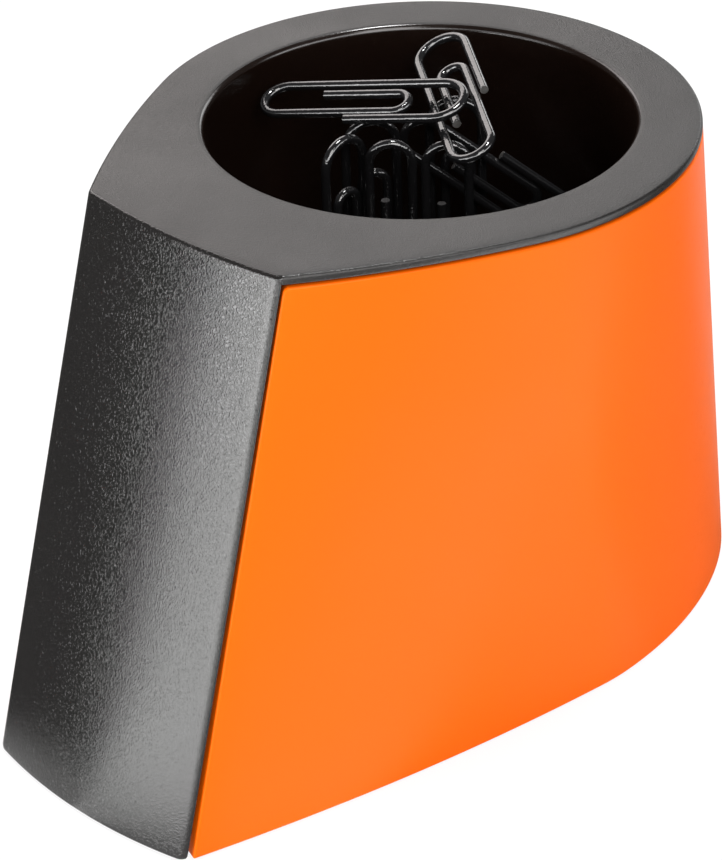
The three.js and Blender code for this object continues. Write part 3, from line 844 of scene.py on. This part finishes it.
# Camera: angles in degrees, distance and target in millimetres
CAMERA_AZIMUTH = 45.083
CAMERA_ELEVATION = 31.774
CAMERA_ROLL = -1.934
CAMERA_DISTANCE = 396.83
CAMERA_TARGET = (-3.032, -8.878, 28.331)
CAMERA_LENS = 130.6
CAMERA_SENSOR = 36.0
FLOOR_COLOR = (0.8, 0.8, 0.8)
# The floor's glow to the camera, and its share beside the lit paper, which keeps the shadow
FLOOR_WHITE = 1.03
FLOOR_GLOW_SHARE = 0.85
FLOOR_RADII = (0.3, 1.5, 6.0)
FLOOR_SIDES = 96


class Lamp(NamedTuple):
    """Azimuth from the front and elevation in degrees, then distance and size in metres, then colour."""

    azimuth: float
    elevation: float
    distance: float
    width: float
    height: float
    tint: tuple = (1, 1, 1)


KEY_LAMP = Lamp(62, 38, 0.9, 0.45, 0.45, (1.0, 0.97, 0.95))
BACK_LAMP = Lamp(245, 35, 0.9, 0.8, 0.6, (1.0, 0.94, 0.92))
TOP_LAMP = Lamp(150, 80, 0.8, 0.16, 0.16)
LAMP_AIM = (0, 0, 0.04)
# The front lamp's width is given by the angle it fills, as seen from the panel's foot
FRONT_LAMP_SPAN = 44.0
FRONT_LAMP_DISTANCE = 0.9
FRONT_LAMP_WIDTH = 2 * FRONT_LAMP_DISTANCE * tan(radians(FRONT_LAMP_SPAN / 2))
FRONT_LAMP = Lamp(-11, 0, FRONT_LAMP_DISTANCE, FRONT_LAMP_WIDTH, 0.3)

# Angle from the front, to the right, in degrees, and share of the brightest part
TABLE_GLOW = (
    (-178, 0.1), (-150, 0.1), (-140, 0), (-35, 0), (-31, 1), (10, 1), (50, 0.45), (68, 0.14),
    (92, 0.16), (106, 0.8), (130, 0.8), (140, 0), (165, 0), (178, 0.1))
ROOM_GLOW = (
    (-178, 0.5), (-150, 0.5), (-140, 0), (-40, 0), (-10, 0.7), (20, 1), (122, 1), (134, 0), (180, 0))
# Elevations between which the room glows, and the angle over which it fades at each of them
ROOM_GLOW_LOW = 10.0
ROOM_GLOW_HIGH = 24.0
ROOM_GLOW_FADE = 6.0
# Share of the floor's glow left at the panel's foot, and the distances between which it comes back
FOOT_SHADE = 0.4
FOOT_SHADE_START = 3.0
FOOT_SHADE_REACH = 45.0
# Bright spots of the floor: place from the cup's axis, share of the brightest part, and the distances at
# which it starts and ends fading
FLOOR_SPOTS = ((0, -62.5, 0.21, 10, 36), (56, -2, 0.3, 6, 32))


def direction(azimuth, elevation):
    """Direction towards a place at an azimuth from the front, counted to the right, and an elevation."""
    a, e = radians(azimuth), radians(elevation)
    return Vector((sin(a) * cos(e), -cos(a) * cos(e), sin(e)))


def make_camera():
    """Camera that faces its target from a direction, rolled about the line of sight."""
    back = direction(CAMERA_AZIMUTH, CAMERA_ELEVATION)
    a = radians(CAMERA_AZIMUTH)
    level = Vector((cos(a), sin(a), 0))
    above = back.cross(level)
    roll = radians(CAMERA_ROLL)
    right = level * cos(roll) + above * sin(roll)
    up = above * cos(roll) - level * sin(roll)
    data = bpy.data.cameras.new("camera")
    data.lens = CAMERA_LENS
    data.sensor_width = CAMERA_SENSOR
    camera = bpy.data.objects.new("camera", data)
    bpy.context.scene.collection.objects.link(camera)
    place = Vector(CAMERA_TARGET) + Vector((0, AXIS_Y, 0)) + back * CAMERA_DISTANCE
    axes = Matrix((right, up, back)).transposed().to_4x4()
    camera.matrix_world = Matrix.Translation(place * MM) @ axes
    data.clip_start = 0.01
    data.clip_end = 20
    bpy.context.scene.camera = camera


def make_lamp(name, place, watts, aim=LAMP_AIM):
    """Rectangular lamp facing a point of the holder."""
    data = bpy.data.lights.new(name, "AREA")
    data.shape = "RECTANGLE"
    data.size = place.width
    data.size_y = place.height
    data.energy = watts
    data.color = place.tint
    lamp = bpy.data.objects.new(name, data)
    bpy.context.scene.collection.objects.link(lamp)
    away = direction(place.azimuth, place.elevation)
    facing = away.to_track_quat("Z", "Y").to_matrix().to_4x4()
    lamp.matrix_world = Matrix.Translation(Vector(aim) + away * place.distance) @ facing


def by_ray(nodes, links, seen, mirrored, diffuse):
    """One of three values: for rays from the camera or through glass, for mirror rays, for the rest."""
    path = nodes.new("ShaderNodeLightPath")
    direct = math_node(nodes, links, "MAXIMUM", path.outputs["Is Camera Ray"],
                       path.outputs["Is Transmission Ray"])
    glossy = path.outputs["Is Glossy Ray"]
    rest = math_node(nodes, links, "SUBTRACT", 1, math_node(nodes, links, "MAXIMUM", direct, glossy))
    parts = [math_node(nodes, links, "MULTIPLY", share, value)
             for share, value in ((direct, seen), (glossy, mirrored), (rest, diffuse))]
    both = math_node(nodes, links, "ADD", parts[0], parts[1])
    return math_node(nodes, links, "ADD", both, parts[2])


def glow_by_angle(nodes, links, x, ahead, stops):
    """Share of the brightness by the angle of a direction from the front, counted to the right."""
    angle = math_node(nodes, links, "ARCTAN2", x, ahead)
    turn = math_node(nodes, links, "ADD", math_node(nodes, links, "DIVIDE", angle, 2 * pi), 0.5)
    ramp = nodes.new("ShaderNodeValToRGB")
    first, second, *others = sorted((degrees / 360 + 0.5, share) for degrees, share in stops)
    elements = ramp.color_ramp.elements
    for stop, (position, share) in zip(elements, (first, second)):
        stop.position = position
        stop.color = (share, share, share, 1)
    for position, share in others:
        elements.new(position).color = (share, share, share, 1)
    links.new(turn, ramp.inputs["Fac"])
    return ramp.outputs["Color"]


def room_glow(nodes, links, level):
    """Brightness of the room in mirror rays: a low belt of soft boxes round the front and right, and one
    half as bright behind at the left."""
    where = nodes.new("ShaderNodeTexCoord")
    apart = nodes.new("ShaderNodeSeparateXYZ")
    links.new(where.outputs["Generated"], apart.inputs["Vector"])
    ahead = math_node(nodes, links, "MULTIPLY", apart.outputs["Y"], -1)
    share = glow_by_angle(nodes, links, apart.outputs["X"], ahead, ROOM_GLOW)
    for edge, beyond in ((ROOM_GLOW_LOW, -ROOM_GLOW_FADE), (ROOM_GLOW_HIGH, ROOM_GLOW_FADE)):
        dark, bright = sin(radians(edge + beyond)), sin(radians(edge - beyond))
        fade = map_range(nodes, links, apart.outputs["Z"], dark, bright)
        share = math_node(nodes, links, "MULTIPLY", share, fade)
    return math_node(nodes, links, "MULTIPLY", share, level)


def make_world(ambient, mirrored, glow_level):
    """World: white to the camera, the room's glow to mirror rays and even to the rest."""
    world = bpy.data.worlds.new("studio")
    bpy.context.scene.world = world
    world.use_nodes = True
    nodes, links = world.node_tree.nodes, world.node_tree.links
    sky = nodes["Background"]
    sky.inputs["Color"].default_value = (1, 1, 1, 1)
    room = math_node(nodes, links, "ADD", room_glow(nodes, links, glow_level), mirrored)
    links.new(by_ray(nodes, links, 1, room, ambient), sky.inputs["Strength"])


def by_distance(nodes, links, x, y, start, end, inner, outer):
    """Value that eases from an inner to an outer one with the distance from a place on the floor, all in
    millimetres from the cup's axis."""
    where = nodes.new("ShaderNodeTexCoord")
    away = nodes.new("ShaderNodeVectorMath")
    away.operation = "DISTANCE"
    links.new(where.outputs["Object"], away.inputs[0])
    away.inputs[1].default_value = (x * MM, (AXIS_Y + y) * MM, 0)
    return map_range(nodes, links, away.outputs["Value"], start * MM, end * MM, inner, outer, "SMOOTHSTEP")


def table_glow(nodes, links, level):
    """Brightness of the floor in mirror rays, by its angle about the panel's foot: high in front, where
    the soft lamp stands, with a second band at the right, and nearly dark at the left and behind. It is
    dimmer close to the foot and has a few bright spots."""
    where = nodes.new("ShaderNodeTexCoord")
    apart = nodes.new("ShaderNodeSeparateXYZ")
    links.new(where.outputs["Object"], apart.inputs["Vector"])
    ahead = math_node(nodes, links, "SUBTRACT", (AXIS_Y + FOOT.corner_y) * MM, apart.outputs["Y"])
    share = glow_by_angle(nodes, links, apart.outputs["X"], ahead, TABLE_GLOW)
    foot_y = PANEL_FOOT.corner_y - PANEL_FOOT.bow
    shade = by_distance(nodes, links, 0, foot_y, FOOT_SHADE_START, FOOT_SHADE_REACH, FOOT_SHADE, 1)
    share = math_node(nodes, links, "MULTIPLY", share, shade)
    for x, y, brightest, start, end in FLOOR_SPOTS:
        spot = by_distance(nodes, links, x, y, start, end, brightest, 0)
        share = math_node(nodes, links, "MAXIMUM", share, spot)
    return math_node(nodes, links, "MULTIPLY", share, level)


def pale_floor(mirrored_level, glow_level):
    """Floor: plain white to the lamps, near white to the camera, and it keeps the shadow. In mirror rays it
    glows in front of the panel as a table under a soft lamp does."""
    material = bpy.data.materials.new("pale_floor")
    material.use_nodes = True
    material.cycles.emission_sampling = "NONE"
    nodes, links = material.node_tree.nodes, material.node_tree.links
    nodes.remove(nodes["Principled BSDF"])
    paper = nodes.new("ShaderNodeBsdfDiffuse")
    paper.inputs["Color"].default_value = (*FLOOR_COLOR, 1)
    glow = nodes.new("ShaderNodeEmission")
    glow.inputs["Color"].default_value = (1, 1, 1, 1)
    mirrored = math_node(nodes, links, "MAXIMUM", table_glow(nodes, links, glow_level), mirrored_level)
    links.new(by_ray(nodes, links, FLOOR_WHITE, mirrored, 0), glow.inputs["Strength"])
    mix = nodes.new("ShaderNodeMixShader")
    links.new(by_ray(nodes, links, FLOOR_GLOW_SHARE, 1, 0), mix.inputs["Fac"])
    links.new(paper.outputs["BSDF"], mix.inputs[1])
    links.new(glow.outputs["Emission"], mix.inputs[2])
    links.new(mix.outputs["Shader"], nodes["Material Output"].inputs["Surface"])
    return material


def make_floor(material):
    """Flat disc of a few rings round its middle."""
    turn = np.linspace(0, 2 * pi, FLOOR_SIDES, endpoint=False)
    radii = np.array(FLOOR_RADII)[:, None]
    flat = np.zeros((len(FLOOR_RADII), FLOOR_SIDES))
    rows = np.stack([radii * np.cos(turn), radii * np.sin(turn), flat], axis=-1)
    points = np.concatenate([rows.reshape(-1, 3), [[0, 0, 0]]])
    ring = np.arange(FLOOR_SIDES)
    middle = np.stack([ring, np.roll(ring, -1), np.full(FLOOR_SIDES, len(points) - 1)], axis=-1)
    mesh = bpy.data.meshes.new("floor")
    faces = grid_quads(len(FLOOR_RADII), FLOOR_SIDES, True)[:, ::-1].tolist() + middle.tolist()
    mesh.from_pydata(points.tolist(), [], faces)
    mesh.materials.append(material)
    floor = bpy.data.objects.new("floor", mesh)
    bpy.context.scene.collection.objects.link(floor)


# Settings, operators and panel

class ClipHolderFinish(bpy.types.PropertyGroup):
    """Colours and grain of the holder."""

    black_color: FloatVectorProperty(
        name="Black plastic", description="Colour of the rim, cup and front panel", subtype="COLOR",
        size=3, min=0, max=1, default=(0.0105, 0.0098, 0.0095))
    wrap_color: FloatVectorProperty(
        name="Wrap", description="Colour of the wrap round the sides and back", subtype="COLOR",
        size=3, min=0, max=1, default=(0.98, 0.142, 0.001))
    grain_frequency: FloatProperty(
        name="Grain frequency", description="Ridges of the front panel's grain per metre",
        min=100, max=8000, default=2900)
    grain_depth: FloatProperty(
        name="Grain depth", description="Height of the front panel's grain", unit="LENGTH",
        min=0, max=0.001, precision=6, default=0.0000155)


def power(name, description, default):
    """Setting for a lamp's power in watts."""
    return FloatProperty(name=name, description=description, unit="POWER", min=0, max=500, default=default)


def brightness(name, description, default, highest):
    """Setting for something that glows, where 1 is white."""
    return FloatProperty(name=name, description=description, min=0, max=highest, default=default)


class ClipHolderLight(bpy.types.PropertyGroup):
    """Strength of the studio's lamps."""

    key_power: power("Key lamp", "Power of the lamp at the front right", 4.4)
    front_power: power("Front lamp", "Power of the lamp that lights the front panel", 6.3)
    back_power: power("Back lamp", "Power of the lamp behind the holder", 5.7)
    top_power: power("Top lamp", "Power of the small lamp overhead that makes the clips sparkle", 4.8)
    table_glow: brightness("Table glow", "Brightness of the table as the panel mirrors it", 6.9, 20)
    room_glow: brightness("Room glow", "Brightness of the soft boxes in mirror rays", 8, 20)
    mirrored: brightness("Mirrored room", "Brightness of the rest in mirror rays", 0.12, 2)
    ambient: brightness("Ambient", "Strength of the even light from all round", 0.35, 2)


def dress_nodes(names, material):
    """Give solids of the frame a material, without changing their shape."""
    for name in names:
        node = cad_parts[name]
        node.data.materials.clear()
        node.data.materials.append(material)


class CLIPHOLDER_OT_body(bpy.types.Operator):
    """Make the rim with its cup and the front panel"""

    bl_idname = "clipholder.body"
    bl_label = "Black moulding"

    def execute(self, context):
        finish = context.scene.clip_holder_finish
        coarse = coarse_black(finish)
        rim = make_rim_and_cup([gloss_black(), fine_black(finish), coarse, edge_black(finish)])
        panel = make_front_panel(coarse)
        for piece in (rim, panel):
            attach(piece, "holder")
            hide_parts("body_moulding")
        return {"FINISHED"}


class CLIPHOLDER_OT_wrap(bpy.types.Operator):
    """Make the orange wrap"""

    bl_idname = "clipholder.wrap"
    bl_label = "Orange wrap"

    def execute(self, context):
        wrap = make_wrap(orange_satin(context.scene.clip_holder_finish))
        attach(wrap, "holder")
        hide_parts("outer_wrap")
        return {"FINISHED"}


class CLIPHOLDER_OT_underside(bpy.types.Operator):
    """Finish the base plate, pads, screws and magnet"""

    bl_idname = "clipholder.underside"
    bl_label = "Underside"

    def execute(self, context):
        nodes = list(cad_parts)
        dress_nodes(["base_plate", "magnet_cap"], base_black())
        dress_nodes([n for n in nodes if n.startswith("foot_pad")], pad_rubber())
        dress_nodes([n for n in nodes if n.startswith("base_screw")], zinc_steel())
        dress_nodes(["magnet_disc"], ground_ferrite())
        return {"FINISHED"}


class CLIPHOLDER_OT_clips(bpy.types.Operator):
    """Make the paper clips"""

    bl_idname = "clipholder.clips"
    bl_label = "Paper clips"

    def execute(self, context):
        lacquer = black_lacquer("black_lacquer", 0.04, 0.1)
        dipped = black_lacquer("dull_lacquer", 0.6, 0.8)
        steel = cut_steel()
        for name, place in CLIP_PLACES.items():
            ends = steel if name in BARE_ENDS else dipped
            clip = make_clip(name, place, [lacquer, ends])
            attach(clip, BODIES.get(name, "holder"))
            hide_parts(name)
        return {"FINISHED"}


class CLIPHOLDER_OT_stage(bpy.types.Operator):
    """Make the camera, lamps, floor and background"""

    bl_idname = "clipholder.stage"
    bl_label = "Stage"

    def execute(self, context):
        light = context.scene.clip_holder_light
        context.scene.view_settings.view_transform = "Standard"
        make_camera()
        make_world(light.ambient, light.mirrored, light.room_glow)
        make_floor(pale_floor(light.mirrored, light.table_glow))
        above_panel_foot = (0, (AXIS_Y + FOOT.corner_y) * MM, FRONT_LAMP.height / 2)
        make_lamp("front_lamp", FRONT_LAMP, light.front_power, above_panel_foot)
        make_lamp("key_lamp", KEY_LAMP, light.key_power)
        make_lamp("back_lamp", BACK_LAMP, light.back_power)
        make_lamp("top_lamp", TOP_LAMP, light.top_power)
        return {"FINISHED"}


class CLIPHOLDER_PT_panel(bpy.types.Panel):
    """Lists the holder's pieces and settings"""

    bl_idname = "CLIPHOLDER_PT_panel"
    bl_label = "Clip holder"
    bl_space_type = "VIEW_3D"
    bl_region_type = "UI"
    bl_category = "Clip holder"

    def draw(self, context):
        column = self.layout.column()
        for operator in OPERATORS:
            column.operator(operator.bl_idname)
        for settings in (context.scene.clip_holder_finish, context.scene.clip_holder_light):
            for name in settings.__annotations__:
                column.prop(settings, name)


OPERATORS = (
    CLIPHOLDER_OT_body,
    CLIPHOLDER_OT_wrap,
    CLIPHOLDER_OT_underside,
    CLIPHOLDER_OT_clips,
    CLIPHOLDER_OT_stage,
)
CLASSES = (ClipHolderFinish, ClipHolderLight, *OPERATORS, CLIPHOLDER_PT_panel)


def register():
    for cls in CLASSES:
        bpy.utils.register_class(cls)
    bpy.types.Scene.clip_holder_finish = PointerProperty(type=ClipHolderFinish)
    bpy.types.Scene.clip_holder_light = PointerProperty(type=ClipHolderLight)


def unregister():
    del bpy.types.Scene.clip_holder_light
    del bpy.types.Scene.clip_holder_finish
    for cls in reversed(CLASSES):
        bpy.utils.unregister_class(cls)


def main():
    register()
    bpy.ops.clipholder.body()
    bpy.ops.clipholder.wrap()
    bpy.ops.clipholder.underside()
    bpy.ops.clipholder.clips()
    bpy.ops.clipholder.stage()


if __name__ == "__main__":
    main()
